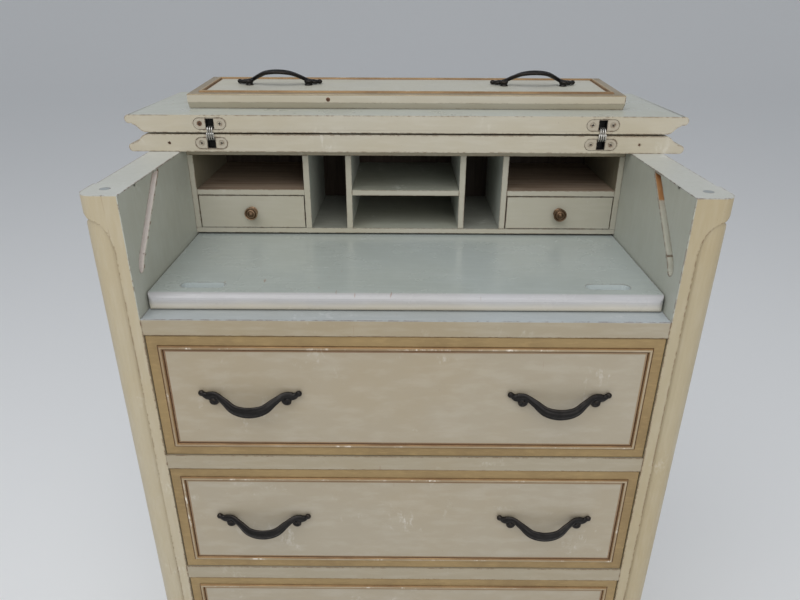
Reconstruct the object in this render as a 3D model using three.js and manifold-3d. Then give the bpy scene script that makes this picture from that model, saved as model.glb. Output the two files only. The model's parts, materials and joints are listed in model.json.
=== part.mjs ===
// Flip-top desk chest: a writing space with pigeonholes behind a folding top, over four long drawers.
// Millimetres, +Z up. The front faces -Y. The lid is folded back, as it stands when the desk is in use.
import * as THREE from 'three';
import { mergeVertices } from 'three/addons/utils/BufferGeometryUtils.js';
import Module from 'manifold-3d';

const wasm = await Module();
wasm.setup();

// Case
const OPENING = 600; // clear width between the corner posts
const SIDE_THICKNESS = 42;
const CASE_DEPTH = 410;
const POST_WIDTH = 45;
const POST_DEPTH = 47;
const BASE_HEIGHT = 75;
const BOTTOM_BOARD = 20;
const DRAWER_COUNT = 4;
const DRAWER_OPENING = 171.2;
const RAIL_HEIGHT = 20.5;
const RAIL_DEPTH = 22;
const CAVITY_HEIGHT = 143.6; // from the top of the sides down to the desk rail
const BACK_THICKNESS = 6;
const GAP = 0.3; // between pieces that touch

// Folding top
const LEAF_THICKNESS = 22.5;
const LEAF_HALF_WIDTH = 367.5;
const SEAM_Y = 210;
const SEAM_CLEARANCE = 0.5; // from each leaf's edge to the fold axis
const FOLD_CLEARANCE = 1.3; // from each leaf's face to the fold axis
const FRONT_LEAF_LENGTH = 230;
const REAR_LEAF_OVERHANG = 2;

// Link hinges in the seam
const HINGE_X = 257;
const CUP_LENGTH = 42;
const CUP_HEIGHT = 14.4;
const CUP_DEPTH = 12;
const SLOT_WIDTH = 10;
const SLOT_HEIGHT = 13.6;
const SLOT_DEPTH = 9.8;
const LINK_PIVOT = 7.5; // from the fold axis to each link's pivot, across and down
const LINK_REACH = 9.2;
const LINK_HALF_HEIGHT = 1.6;

// False drawer front
const FLIP_Y = -186.6; // its hinge, from the fold axis, with the lid closed
const FLIP_DROP = 4.5; // its hinge below the lid's underside
const FALSE_THICKNESS = 20;
const FALSE_HEIGHT = 139;
const FALSE_RISE = 2; // how far its top edge stands above its hinge
const FALSE_HALF_WIDTH = 297.5;
const CHAMFER = { depth: 9, height: 6 }; // along its lower back edge
const KNUCKLE_RADIUS = 2.2;
const KNUCKLE_ROOM = 2.8;
const HINGE_STRIP = 280; // half its length
const HINGE_STRIP_WIDTH = 20;
const HINGE_SHEET = 1.1;

// Desk panel
const DESK_THICKNESS = 20.3;
const DESK_FRONT_Y = 22;
const DESK_BACK_Y = 380;
const DESK_NOSE = 9;
const RECESS = { x: 240, y: 51, length: 54, width: 17, depth: 8 };

// Pigeonholes
const NEST_FRONT_Y = 232;
const NEST_BACK_Y = 401;
const NEST_BOARD = 7.5;
const DIVIDER = 8;
const SLOT_INNER_X = 75; // inner face of the dividers beside the middle bay
const SLOT_OUTER_X = 133.7; // inner face of the dividers beside the small drawers
const SHELF_DROP = 57.2; // from the top of the sides to the top of the shelves

// Drawers
const FRONT_THICKNESS = 20;
const FRONT_SETBACK = 1;
const FRONT_MARGIN = 1.2;
const BORDER = 12.6; // flat band outside the bead
const BEAD = 5.4;
const BEAD_RISE = 2.5;
const BOX_WALL = 12;
const BOX_BACK_Y = 375;
const SMALL_WALL = 5;

// Pull: boss spacing, reach from the face, and the sweep of the bail
const PULL_X = 184;
const BOSS_X = 42.5;
const BOSS_RADIUS = 6.2;
const BAIL_RADIUS = 4;
const BALL_RADIUS = 4.6;
const PULL_REACH = 23;
const BAIL = [
  [58, 5, 9.5],
  [51, 4.8, 6],
  [41, 6.5, 8],
  [30, 11.5, 3],
  [17, 17.5, -5],
  [0, PULL_REACH - BAIL_RADIUS, -7.7],
];
const KNOB = { radius: 9.2, shoulder: 7.7, neck: 4, rose: 6, height: 15.5 };

const CREAM = { color: 0xd9d3b0, roughness: 0.55 };
const GREEN = { color: 0xb4bfaf, roughness: 0.35 };
const BARE_WOOD = { color: 0x8a6a4c, roughness: 0.8 };
const BRONZE = { color: 0x2c2620, roughness: 0.45, metalness: 0.9 };
const BRASS = { color: 0x77603a, roughness: 0.45, metalness: 0.9 };
const STEEL = { color: 0x8c8a84, roughness: 0.4, metalness: 1 };

// Heights and depths that follow from the sizes above
const HALF = OPENING / 2;
const SIDE_X = HALF + SIDE_THICKNESS;
const POST_X = HALF + POST_WIDTH;
const DRAWER_PITCH = DRAWER_OPENING + RAIL_HEIGHT;
const DRAWER_STACK = DRAWER_COUNT * DRAWER_PITCH;
const CASE_BOTTOM = BASE_HEIGHT + BOTTOM_BOARD;
const CAVITY_FLOOR = CASE_BOTTOM + DRAWER_STACK;
const CASE_TOP = CAVITY_FLOOR + CAVITY_HEIGHT;
const DESK_TOP = CAVITY_FLOOR + GAP + DESK_THICKNESS;
const LEAF_BOTTOM = CASE_TOP + GAP;
const AXIS_Y = SEAM_Y - SEAM_CLEARANCE;
const AXIS_Z = LEAF_BOTTOM + LEAF_THICKNESS + FOLD_CLEARANCE;
const BACK_Y = CASE_DEPTH - BACK_THICKNESS - 2;
const NEST_FLOOR = DESK_TOP + 3;
const FALSE_BOTTOM = FALSE_RISE - FALSE_HEIGHT;
// Folded back, the false front rests on the lid along its chamfer, with its hinged edge a little higher.
const REST_TILT = Math.asin((FLIP_DROP + KNUCKLE_ROOM - GAP) / (-FALSE_BOTTOM - CHAMFER.height));
const FOREMOST = FRONT_SETBACK - PULL_REACH;
const HINDMOST = SEAM_Y + FRONT_LEAF_LENGTH;

const AXIS_X_UNIT = new THREE.Vector3(1, 0, 0);
const AXIS_Y_UNIT = new THREE.Vector3(0, 1, 0);
const AXIS_Z_UNIT = new THREE.Vector3(0, 0, 1);
const ALONG_X = new THREE.Matrix4().makeBasis(AXIS_Y_UNIT, AXIS_Z_UNIT, AXIS_X_UNIT);
const ALONG_Y = new THREE.Matrix4().makeBasis(AXIS_Z_UNIT, AXIS_X_UNIT, AXIS_Y_UNIT);

const chest = new THREE.Group();
chest.position.y = -(FOREMOST + HINDMOST) / 2;

// --- joining and cutting ---

function solid(geometry) {
  const bare = geometry.clone();
  bare.deleteAttribute('normal');
  bare.deleteAttribute('uv');
  const merged = mergeVertices(bare, 1e-4);
  return new wasm.Manifold(new wasm.Mesh({
    numProp: 3,
    vertProperties: Float32Array.from(merged.attributes.position.array),
    triVerts: Uint32Array.from(merged.index.array),
  }));
}

function geometryOf(body) {
  const mesh = body.getMesh();
  const geometry = new THREE.BufferGeometry();
  geometry.setAttribute('position', new THREE.BufferAttribute(mesh.vertProperties, 3));
  geometry.setIndex(new THREE.BufferAttribute(mesh.triVerts, 1));
  geometry.computeVertexNormals();
  return geometry;
}

function block(x0, x1, y0, y1, z0, z1) {
  const geometry = new THREE.BoxGeometry(Math.abs(x1 - x0), y1 - y0, z1 - z0);
  return geometry.translate((x0 + x1) / 2, (y0 + y1) / 2, (z0 + z1) / 2);
}

const blockSolid = (...sizes) => solid(block(...sizes));

function extrude(outline, length) {
  const shape = new THREE.Shape(outline.map(([a, b]) => new THREE.Vector2(a, b)));
  return new THREE.ExtrudeGeometry(shape, { depth: length, bevelEnabled: false });
}

// Each outline is a list of points: (y, z) along X, (x, z) along Y and (x, y) along Z.
const extrudeX = (outline, x0, x1) =>
  extrude(outline, x1 - x0).applyMatrix4(ALONG_X).translate(x0, 0, 0);
const extrudeY = (outline, y0, y1) =>
  extrude(outline.map(([x, z]) => [z, x]), y1 - y0).applyMatrix4(ALONG_Y).translate(0, y0, 0);
const extrudeZ = (outline, z0, z1) => extrude(outline, z1 - z0).translate(0, 0, z0);

function arc(centreA, centreB, radius, fromDegrees, toDegrees, steps) {
  return Array.from({ length: steps + 1 }, (_, i) => {
    const angle = THREE.MathUtils.degToRad(fromDegrees + ((toDegrees - fromDegrees) * i) / steps);
    return [centreA + radius * Math.cos(angle), centreB + radius * Math.sin(angle)];
  });
}

function bend(points, steps) {
  const curve = new THREE.CubicBezierCurve(...points.map(([a, b]) => new THREE.Vector2(a, b)));
  return curve.getPoints(steps).map((p) => [p.x, p.y]);
}

// A slot with round ends between two centres
function capsule([a0, b0], [a1, b1], radius, steps = 6) {
  const heading = THREE.MathUtils.radToDeg(Math.atan2(b1 - b0, a1 - a0));
  return [
    ...arc(a1, b1, radius, heading - 90, heading + 90, steps),
    ...arc(a0, b0, radius, heading + 90, heading + 270, steps),
  ];
}

function place(parent, name, geometry, look) {
  const mesh = new THREE.Mesh(geometry, new THREE.MeshStandardMaterial(look));
  mesh.name = name;
  parent.add(mesh);
  return mesh;
}

const bothSides = [
  ['left', -1],
  ['right', 1],
];

// --- case ---

// The groove in each side that steers the false front: down and forward from a square end, then straight down.
// Its points are y and the height from the top of the case.
const GROOVE = { top: [115.5, -1], bend: [33, -84], end: [30, -91], halfWidth: 8, depth: 8 };

function guideGroove(side) {
  const [top, corner, end] = [GROOVE.top, GROOVE.bend, GROOVE.end].map(([y, drop]) => [y, CASE_TOP + drop]);
  const reach = [side * (HALF - 1), side * (HALF + GROOVE.depth)].sort((a, b) => a - b);
  const upper = solid(extrudeX(capsule(top, corner, GROOVE.halfWidth, 8), ...reach));
  const lower = solid(extrudeX(capsule(corner, end, GROOVE.halfWidth, 8), ...reach));
  const belowTop = blockSolid(...reach, 0, CASE_DEPTH, 0, CASE_TOP - 2.5);
  return upper.add(lower).intersect(belowTop);
}

const drawerTop = (index) => CAVITY_FLOOR - RAIL_HEIGHT - index * DRAWER_PITCH;

function sidePanel(side) {
  const inner = side * HALF;
  const outer = side * SIDE_X;
  const panel = blockSolid(inner, outer, POST_DEPTH + GAP, CASE_DEPTH, BASE_HEIGHT + GAP, CASE_TOP);
  const runnerDepth = 20;
  const runnerHeight = 14;
  const runnerEnd = BACK_Y - 1;
  const tops = [CAVITY_FLOOR];
  for (let i = 0; i < DRAWER_COUNT - 1; i += 1) {
    tops.push(drawerTop(i) - DRAWER_OPENING);
  }
  const withRunners = tops.reduce((body, top) => body.add(blockSolid(
    inner - side * runnerDepth,
    inner + side,
    POST_DEPTH + GAP,
    runnerEnd,
    top - runnerHeight,
    top,
  )), panel);
  return geometryOf(withRunners.subtract(guideGroove(side)));
}

// Corner post: a plain block above, then a lamb's-tongue stop down to a flat stile and a round column.
// Heights of the stop are from the top of the case.
const STILE = 13; // width of the flat beside the drawers
const COLUMN = { radius: 20, proudOfFront: -1, grooveAngle: -125 };
const BLOCK_ROUND = 17;
const STOP = { blockEnd: -20, noseEnd: -27, noseX: 333.7, tongueEnd: -62 };
const DOME = { top: -27, bottom: -50, width: 11, depth: 22 };

function columnSection() {
  const centreX = POST_X - COLUMN.radius;
  return [
    [HALF, 0],
    [HALF + STILE, 0],
    ...arc(centreX, COLUMN.radius - COLUMN.proudOfFront, COLUMN.radius, COLUMN.grooveAngle, 0, 10),
    [POST_X, POST_DEPTH],
    [HALF, POST_DEPTH],
  ];
}

function stopOutline() {
  const z = (drop) => CASE_TOP + drop;
  const stile = HALF + STILE;
  return [
    [HALF - 1, z(1)],
    [POST_X + 1, z(1)],
    [POST_X + 1, z(STOP.blockEnd)],
    ...bend([[POST_X, z(STOP.blockEnd)], [POST_X - 4, z(STOP.blockEnd)], [POST_X - 7, z(STOP.noseEnd)],
      [STOP.noseX, z(STOP.noseEnd)]], 5),
    ...bend([[STOP.noseX, z(STOP.noseEnd)], [STOP.noseX - 8, z(STOP.noseEnd - 2)],
      [stile + 2.5, z(STOP.noseEnd - 9)], [stile, z(STOP.tongueEnd)]], 8).slice(1),
    [HALF - 1, z(STOP.tongueEnd)],
  ];
}

// What is cut from the outer front of the column so that it ends in a dome under the block
function domeCut(side) {
  const inner = POST_X - DOME.width;
  const outline = [
    ...bend([[inner, CASE_TOP + DOME.top], [inner + 7, CASE_TOP + DOME.top], [POST_X, CASE_TOP + DOME.top - 10],
      [POST_X + 0.1, CASE_TOP + DOME.bottom]], 8),
    [POST_X + 1, CASE_TOP + DOME.bottom],
    [POST_X + 1, CASE_TOP + 1],
    [inner, CASE_TOP + 1],
  ];
  return solid(extrudeY(outline.map(([x, z]) => [side * x, z]), -1, DOME.depth));
}

function cornerPost(side) {
  const mirror = (outline) => outline.map(([x, b]) => [side * x, b]);
  const upper = [
    [HALF, 0],
    ...arc(POST_X - BLOCK_ROUND, BLOCK_ROUND, BLOCK_ROUND, -90, 0, 8),
    [POST_X, POST_DEPTH],
    [HALF, POST_DEPTH],
  ];
  const foot = BASE_HEIGHT + GAP;
  const column = solid(extrudeZ(mirror(columnSection()), foot, CASE_TOP)).subtract(domeCut(side));
  const head = solid(extrudeZ(mirror(upper), foot, CASE_TOP));
  const headRegion = solid(extrudeY(mirror(stopOutline()), -1, POST_DEPTH + 1));
  return geometryOf(column.add(head.intersect(headRegion)).subtract(guideGroove(side)));
}

function addCase() {
  const width = HALF - GAP;
  for (const [word, side] of bothSides) {
    place(chest, `side_panel_${word}`, sidePanel(side), CREAM);
    place(chest, `corner_post_${word}`, cornerPost(side), CREAM);
  }
  place(chest, 'back_panel', block(-width, width, BACK_Y, CASE_DEPTH - 2, CASE_BOTTOM + GAP, CASE_TOP - 1),
    BARE_WOOD);
  place(chest, 'case_bottom', block(-width, width, 0, CASE_DEPTH - 2, BASE_HEIGHT + GAP, CASE_BOTTOM), CREAM);
  place(chest, 'desk_rail',
    block(-width, width, 0, POST_DEPTH - 2, CAVITY_FLOOR - RAIL_HEIGHT, CAVITY_FLOOR), CREAM);
  for (let i = 1; i < DRAWER_COUNT; i += 1) {
    const top = drawerTop(i - 1) - DRAWER_OPENING;
    place(chest, `drawer_rail_${i}`, block(-width, width, 0, RAIL_DEPTH, top - RAIL_HEIGHT, top), CREAM);
  }
}

// --- base ---

// A skirt board from floor to case, cut away between two bracket feet
const BRACKET = { arch: 45, shoulder: 14, brow: 28, waist: 4 };

function skirtOutline(from, to, foot) {
  const { arch, shoulder, brow, waist } = BRACKET;
  const curve = (edge, inward) => bend([
    [edge, shoulder],
    [edge + inward * waist, arch - 11],
    [edge + inward * shoulder, arch],
    [edge + inward * brow, arch],
  ], 6);
  return [
    [from, 0],
    [from + foot, 0],
    ...curve(from + foot, 1),
    ...curve(to - foot, -1).reverse(),
    [to - foot, 0],
    [to, 0],
    [to, BASE_HEIGHT],
    [from, BASE_HEIGHT],
  ];
}

function addBase() {
  const proud = 5;
  const board = 22;
  const outer = POST_X + proud;
  place(chest, 'base_front', extrudeY(skirtOutline(-outer, outer, 80), -proud, board - proud), CREAM);
  for (const [word, side] of bothSides) {
    const across = [side * (outer - board), side * outer].sort((a, b) => a - b);
    const outline = skirtOutline(board - proud + GAP, CASE_DEPTH, 70);
    place(chest, `base_side_${word}`, extrudeX(outline, ...across), CREAM);
  }
}

// --- folding top ---

// The moulded edge: a rounded nose, a small step and an ogee. Inward from the tip, and up from the wide face.
function edgeProfile() {
  const nose = 5.5;
  return [
    ...arc(nose, nose, nose, -90, -270, 8),
    [nose + 3.5, 2 * nose],
    ...bend([[11.5, 12], [17, 13.5], [18.5, 21], [24, LEAF_THICKNESS]], 6),
  ];
}

// The wide face is at z = wide and the narrow face is a leaf's thickness along lift (+1 or -1).
const edgeAt = (tip, inward, wide, lift) => edgeProfile().map(([a, b]) => [tip + inward * a, wide + lift * b]);

function leafAcross(wide, lift, y0, y1) {
  return solid(extrudeY([
    ...edgeAt(-LEAF_HALF_WIDTH, 1, wide, lift),
    ...edgeAt(LEAF_HALF_WIDTH, -1, wide, lift).reverse(),
  ], y0, y1));
}

function cupOutline(centre, height, length, grow) {
  const radius = height / 2 + grow;
  const reach = length / 2 - height / 2;
  return (x) => capsule([x - reach, centre], [x + reach, centre], radius, 8);
}

function cupMortises(centre, y0, y1) {
  const outline = cupOutline(centre, CUP_HEIGHT, CUP_LENGTH, GAP);
  return solid(extrudeY(outline(-HINGE_X), y0, y1)).add(solid(extrudeY(outline(HINGE_X), y0, y1)));
}

function hingeCup(x, centre, y0, y1, slotY0, slotY1) {
  const outer = solid(extrudeY(cupOutline(centre, CUP_HEIGHT, CUP_LENGTH, 0)(x), y0, y1));
  const half = SLOT_WIDTH / 2;
  const slot = blockSolid(x - half, x + half, slotY0, slotY1, centre - SLOT_HEIGHT / 2, centre + SLOT_HEIGHT / 2);
  return geometryOf(outer.subtract(slot));
}

// An L-shaped link, in the plane of its swing, from its pivot at the origin
function linkPlate(x0, x1, rise) {
  const arm = solid(extrudeX(capsule([0, 0], [-LINK_REACH, 0], LINK_HALF_HEIGHT), x0, x1));
  const leg = solid(extrudeX(
    capsule([-LINK_REACH, 0], [-LINK_REACH, rise * LINK_PIVOT], LINK_HALF_HEIGHT), x0, x1));
  return arm.add(leg);
}

function rearLink() {
  const barrel = solid(extrudeX(arc(0, 0, LINK_HALF_HEIGHT - 0.1, 0, 330, 11), -3, 3));
  return geometryOf(linkPlate(-4.4, -2.6, 1).add(linkPlate(2.6, 4.4, 1)).add(barrel));
}

function addRearLeaf() {
  const centre = LEAF_BOTTOM + LEAF_THICKNESS / 2;
  const leaf = leafAcross(LEAF_BOTTOM, 1, SEAM_Y, CASE_DEPTH + REAR_LEAF_OVERHANG);
  place(chest, 'rear_leaf', geometryOf(leaf.subtract(cupMortises(centre, SEAM_Y - 1, SEAM_Y + CUP_DEPTH + GAP))),
    CREAM);
  for (const [word, side] of bothSides) {
    const x = side * HINGE_X;
    place(chest, `rear_hinge_cup_${word}`,
      hingeCup(x, centre, SEAM_Y, SEAM_Y + CUP_DEPTH, SEAM_Y - 1, SEAM_Y + SLOT_DEPTH), STEEL);
    const link = place(chest, `rear_hinge_link_${word}`, rearLink(), STEEL);
    link.position.set(x, AXIS_Y + LINK_PIVOT, AXIS_Z - LINK_PIVOT);
  }
}

// The lid's pieces are drawn closed, from the fold axis, and the group turns them to their folded-back rest.
const lid = new THREE.Group();
lid.position.set(0, AXIS_Y, AXIS_Z);
lid.rotation.x = -Math.PI;
chest.add(lid);

const LID_FACE = -FOLD_CLEARANCE - LEAF_THICKNESS; // the lid's underside, from the fold axis

function frontLeaf() {
  const seam = -SEAM_CLEARANCE;
  const front = seam - FRONT_LEAF_LENGTH;
  const along = solid(extrudeX([
    ...edgeAt(front, 1, LID_FACE, 1),
    [seam, -FOLD_CLEARANCE],
    [seam, LID_FACE],
  ], -LEAF_HALF_WIDTH - 1, LEAF_HALF_WIDTH + 1));
  const centre = LID_FACE + LEAF_THICKNESS / 2;
  return geometryOf(leafAcross(LID_FACE, 1, front - 1, seam + 1)
    .intersect(along)
    .subtract(cupMortises(centre, seam - CUP_DEPTH - GAP, seam + 1)));
}

// One half of a strip hinge on an axis through the origin: a sheet along +Y at sheetLow, and every second
// knuckle from the first, each on a leg from the sheet
function stripHinge(first, sheetLow) {
  const count = 9;
  const pitch = (2 * HINGE_STRIP) / count;
  const slack = 0.4;
  const sheetHigh = sheetLow + HINGE_SHEET;
  const half = HINGE_SHEET / 2;
  const knuckle = arc(0, 0, KNUCKLE_RADIUS, 0, 330, 11);
  let body = blockSolid(-HINGE_STRIP, HINGE_STRIP, KNUCKLE_ROOM, KNUCKLE_ROOM + HINGE_STRIP_WIDTH,
    sheetLow, sheetHigh);
  for (let i = first; i < count; i += 2) {
    const x0 = -HINGE_STRIP + i * pitch + slack;
    const x1 = x0 + pitch - 2 * slack;
    body = body
      .add(solid(extrudeX(knuckle, x0, x1)))
      .add(blockSolid(x0, x1, -half, KNUCKLE_ROOM + 1, sheetLow, sheetHigh))
      .add(blockSolid(x0, x1, -half, half, Math.min(0, sheetLow), Math.max(0, sheetHigh)));
  }
  return body;
}

function addLid() {
  const seam = -SEAM_CLEARANCE;
  const centre = LID_FACE + LEAF_THICKNESS / 2;
  place(lid, 'front_leaf', frontLeaf(), CREAM);
  for (const [word, side] of bothSides) {
    const x = side * HINGE_X;
    place(lid, `front_hinge_cup_${word}`,
      hingeCup(x, centre, seam - CUP_DEPTH, seam, seam - SLOT_DEPTH, seam + 1), STEEL);
    // The front link hangs from the lid, but is drawn at rest, so its own turn undoes the lid's.
    const link = place(lid, `front_hinge_link_${word}`, geometryOf(linkPlate(-2.2, 2.2, -1)), STEEL);
    link.position.set(x, -LINK_PIVOT, -LINK_PIVOT);
    link.rotation.x = Math.PI;
  }
  const sheetLow = FLIP_DROP - GAP / 2 - HINGE_SHEET;
  const fixed = place(lid, 'front_hinge_strip_lid', geometryOf(stripHinge(0, sheetLow)), STEEL);
  fixed.position.set(0, FLIP_Y, LID_FACE - FLIP_DROP);
}

// --- false drawer front ---

// Drawn hanging, from its own hinge axis; it lies on the folded lid at rest.
const falseFront = new THREE.Group();
falseFront.position.set(0, FLIP_Y, LID_FACE - FLIP_DROP);
falseFront.rotation.x = Math.PI / 2 + REST_TILT;
lid.add(falseFront);

// A picture-frame bead standing proud of a face at y, around a panel of half width and height range
function beadFrame(half, z0, z1, y) {
  const outer = BORDER;
  const inner = BORDER + BEAD;
  const ring = blockSolid(-half + outer, half - outer, y - BEAD_RISE, y + 1, z0 + outer, z1 - outer);
  return ring.subtract(blockSolid(-half + inner, half - inner, y - BEAD_RISE - 1, y + 2, z0 + inner, z1 - inner));
}

function falsePanel() {
  const back = -KNUCKLE_ROOM;
  const front = back - FALSE_THICKNESS;
  const outline = [
    [front, FALSE_RISE],
    [back, FALSE_RISE],
    [back, FALSE_BOTTOM + CHAMFER.height],
    [back - CHAMFER.depth, FALSE_BOTTOM],
    [front, FALSE_BOTTOM],
  ];
  return geometryOf(solid(extrudeX(outline, -FALSE_HALF_WIDTH, FALSE_HALF_WIDTH))
    .add(beadFrame(FALSE_HALF_WIDTH, FALSE_BOTTOM, FALSE_RISE, front)));
}

function addFalseFront() {
  place(falseFront, 'false_drawer_front', falsePanel(), CREAM);
  const sheetLow = -KNUCKLE_ROOM + GAP / 2;
  const strip = place(falseFront, 'front_hinge_strip_panel', geometryOf(stripHinge(1, sheetLow)), STEEL);
  strip.rotation.x = -Math.PI / 2;
  for (const [word, side] of bothSides) {
    const pull = place(falseFront, `false_front_pull_${word}`, pullShape(), BRONZE);
    pull.position.set(side * PULL_X, -KNUCKLE_ROOM - FALSE_THICKNESS, (FALSE_RISE + FALSE_BOTTOM) / 2);
  }
}

// --- pulls and knobs, drawn from the face they stand on, reaching towards -Y ---

function pullShape() {
  const seat = -GAP;
  const half = BAIL.map(([x, out, up]) => new THREE.Vector3(x, -out, up));
  const mirrored = half.slice(0, -1).reverse().map((p) => new THREE.Vector3(-p.x, p.y, p.z));
  const path = new THREE.CatmullRomCurve3([...half, ...mirrored]);
  const section = new THREE.Shape(arc(0, 0, BAIL_RADIUS, 0, 315, 7).map(([a, b]) => new THREE.Vector2(a, b)));
  let body = solid(new THREE.ExtrudeGeometry(section, { steps: 22, bevelEnabled: false, extrudePath: path }));
  for (const side of [-1, 1]) {
    const [x, out, up] = BAIL[0];
    const ball = new THREE.IcosahedronGeometry(BALL_RADIUS, 1).translate(side * x, -out, up);
    const boss = extrudeY(arc(side * BOSS_X, 0.5, BOSS_RADIUS, 0, 324, 9), -11, seat);
    body = body.add(solid(ball)).add(solid(boss));
  }
  return geometryOf(body);
}

function knobShape() {
  const { radius, shoulder, neck, rose, height } = KNOB;
  const outline = [
    [0, GAP],
    [rose, GAP],
    [rose, 2],
    [neck, 3.5],
    [neck, 6],
    [shoulder, 8.5],
    [radius, 11],
    [shoulder, 13.5],
    [rose - 1, height - 0.5],
    [0, height],
  ];
  const profile = outline.map(([r, h]) => new THREE.Vector2(r, h));
  return new THREE.LatheGeometry(profile, 18).rotateX(Math.PI);
}

// --- desk panel ---

function deskPanel() {
  const bottom = CAVITY_FLOOR + GAP;
  const width = HALF - 1.5;
  const section = [
    ...arc(DESK_FRONT_Y + DESK_NOSE, DESK_TOP - DESK_NOSE, DESK_NOSE, 90, 180, 6),
    ...arc(DESK_FRONT_Y + 6, bottom + 6, 6, 180, 270, 4),
    [DESK_BACK_Y, bottom],
    [DESK_BACK_Y, DESK_TOP],
  ];
  const corner = 8;
  const plan = [
    [-width, DESK_BACK_Y + 1],
    ...arc(-width + corner, DESK_FRONT_Y - 0.1 + corner, corner, 180, 270, 5),
    ...arc(width - corner, DESK_FRONT_Y - 0.1 + corner, corner, -90, 0, 5),
    [width, DESK_BACK_Y + 1],
  ];
  let body = solid(extrudeX(section, -width, width)).intersect(solid(extrudeZ(plan, bottom - 1, DESK_TOP + 1)));
  for (const side of [-1, 1]) {
    const x = side * RECESS.x;
    const reach = (RECESS.length - RECESS.width) / 2;
    const outline = capsule([x - reach, RECESS.y], [x + reach, RECESS.y], RECESS.width / 2, 8);
    body = body.subtract(solid(extrudeZ(outline, DESK_TOP - RECESS.depth, DESK_TOP + 1)));
  }
  return geometryOf(body);
}

// --- pigeonholes ---

const NEST_X = HALF - GAP;
const NEST_TOP_UNDER = CASE_TOP - GAP - NEST_BOARD - 1;
const NEST_FLOOR_TOP = NEST_FLOOR + NEST_BOARD - 0.5;
const SHELF_TOP = CASE_TOP - SHELF_DROP;

function addPigeonholes() {
  const board = (name, x0, x1, z0, z1) =>
    place(chest, name, block(x0, x1, NEST_FRONT_Y, NEST_BACK_Y, z0, z1), GREEN);
  const low = NEST_FLOOR_TOP + GAP;
  const high = NEST_TOP_UNDER - GAP;
  board('pigeonhole_top', -NEST_X, NEST_X, NEST_TOP_UNDER, CASE_TOP - GAP);
  board('pigeonhole_floor', -NEST_X, NEST_X, NEST_FLOOR, NEST_FLOOR_TOP);
  for (const [word, side] of bothSides) {
    const upright = (name, inner, thickness) => {
      const faces = [side * inner, side * (inner + thickness)].sort((a, b) => a - b);
      board(`${name}_${word}`, ...faces, low, high);
    };
    upright('pigeonhole_end', NEST_X - NEST_BOARD, NEST_BOARD);
    upright('drawer_divider', SLOT_OUTER_X, DIVIDER);
    upright('slot_divider', SLOT_INNER_X, DIVIDER);
    const shelf = [side * (SLOT_OUTER_X + DIVIDER + GAP), side * (NEST_X - NEST_BOARD - GAP)].sort((a, b) => a - b);
    board(`shelf_${word}`, ...shelf, SHELF_TOP - NEST_BOARD, SHELF_TOP);
  }
  board('shelf_middle', -SLOT_INNER_X + GAP, SLOT_INNER_X - GAP, SHELF_TOP - NEST_BOARD, SHELF_TOP);
}

// --- drawers ---

function openBox(x0, x1, y0, y1, z0, z1, wall, floor) {
  const outer = blockSolid(x0, x1, y0, y1, z0, z1);
  return outer.subtract(blockSolid(x0 + wall, x1 - wall, y0 + wall, y1 - wall, z0 + floor, z1 + 1));
}

function addSmallDrawers() {
  const z0 = NEST_FLOOR_TOP + 0.8;
  const z1 = SHELF_TOP - NEST_BOARD - 1.6;
  const front = NEST_FRONT_Y + 0.5;
  for (const [word, side] of bothSides) {
    const inner = SLOT_OUTER_X + DIVIDER + 1.6;
    const outer = NEST_X - NEST_BOARD - 1.2;
    const [x0, x1] = [side * inner, side * outer].sort((a, b) => a - b);
    const tray = openBox(x0 + 1, x1 - 1, front, NEST_BACK_Y - 6, z0, z1 - 6, SMALL_WALL, SMALL_WALL);
    const face = blockSolid(x0, x1, front, front + 9, z0, z1);
    place(chest, `small_drawer_${word}`, geometryOf(tray.add(face)), GREEN);
    const knob = place(chest, `small_knob_${word}`, knobShape(), BRASS);
    knob.position.set((x0 + x1) / 2, front, (z0 + z1) / 2);
  }
}

function addLongDrawers() {
  const half = HALF - FRONT_MARGIN;
  for (let i = 0; i < DRAWER_COUNT; i += 1) {
    const z1 = drawerTop(i) - FRONT_MARGIN;
    const z0 = drawerTop(i) - DRAWER_OPENING + FRONT_MARGIN;
    const face = blockSolid(-half, half, FRONT_SETBACK, FRONT_SETBACK + FRONT_THICKNESS, z0, z1);
    const name = `drawer_${i + 1}`;
    place(chest, `${name}_front`, geometryOf(face.add(beadFrame(half, z0, z1, FRONT_SETBACK))), CREAM);
    const boxFront = FRONT_SETBACK + FRONT_THICKNESS + GAP;
    place(chest, `${name}_box`, geometryOf(openBox(-half + 3, half - 3, boxFront, BOX_BACK_Y,
      z0 - FRONT_MARGIN + 0.5, z1 - 12, BOX_WALL, 9)), BARE_WOOD);
    for (const [word, side] of bothSides) {
      const pull = place(chest, `${name}_pull_${word}`, pullShape(), BRONZE);
      pull.position.set(side * PULL_X, FRONT_SETBACK, (z0 + z1) / 2);
    }
  }
}

addCase();
addBase();
addRearLeaf();
addLid();
addFalseFront();
place(chest, 'desk_panel', deskPanel(), GREEN);
addPigeonholes();
addSmallDrawers();
addLongDrawers();

export default chest;
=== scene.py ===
"""Looks of the flip-top desk chest: aged paint, gilt beads, cast pulls and link hinges on the frame."""
import json
import math
import random

import bmesh
import bpy
from mathutils import Matrix, Vector


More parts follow.
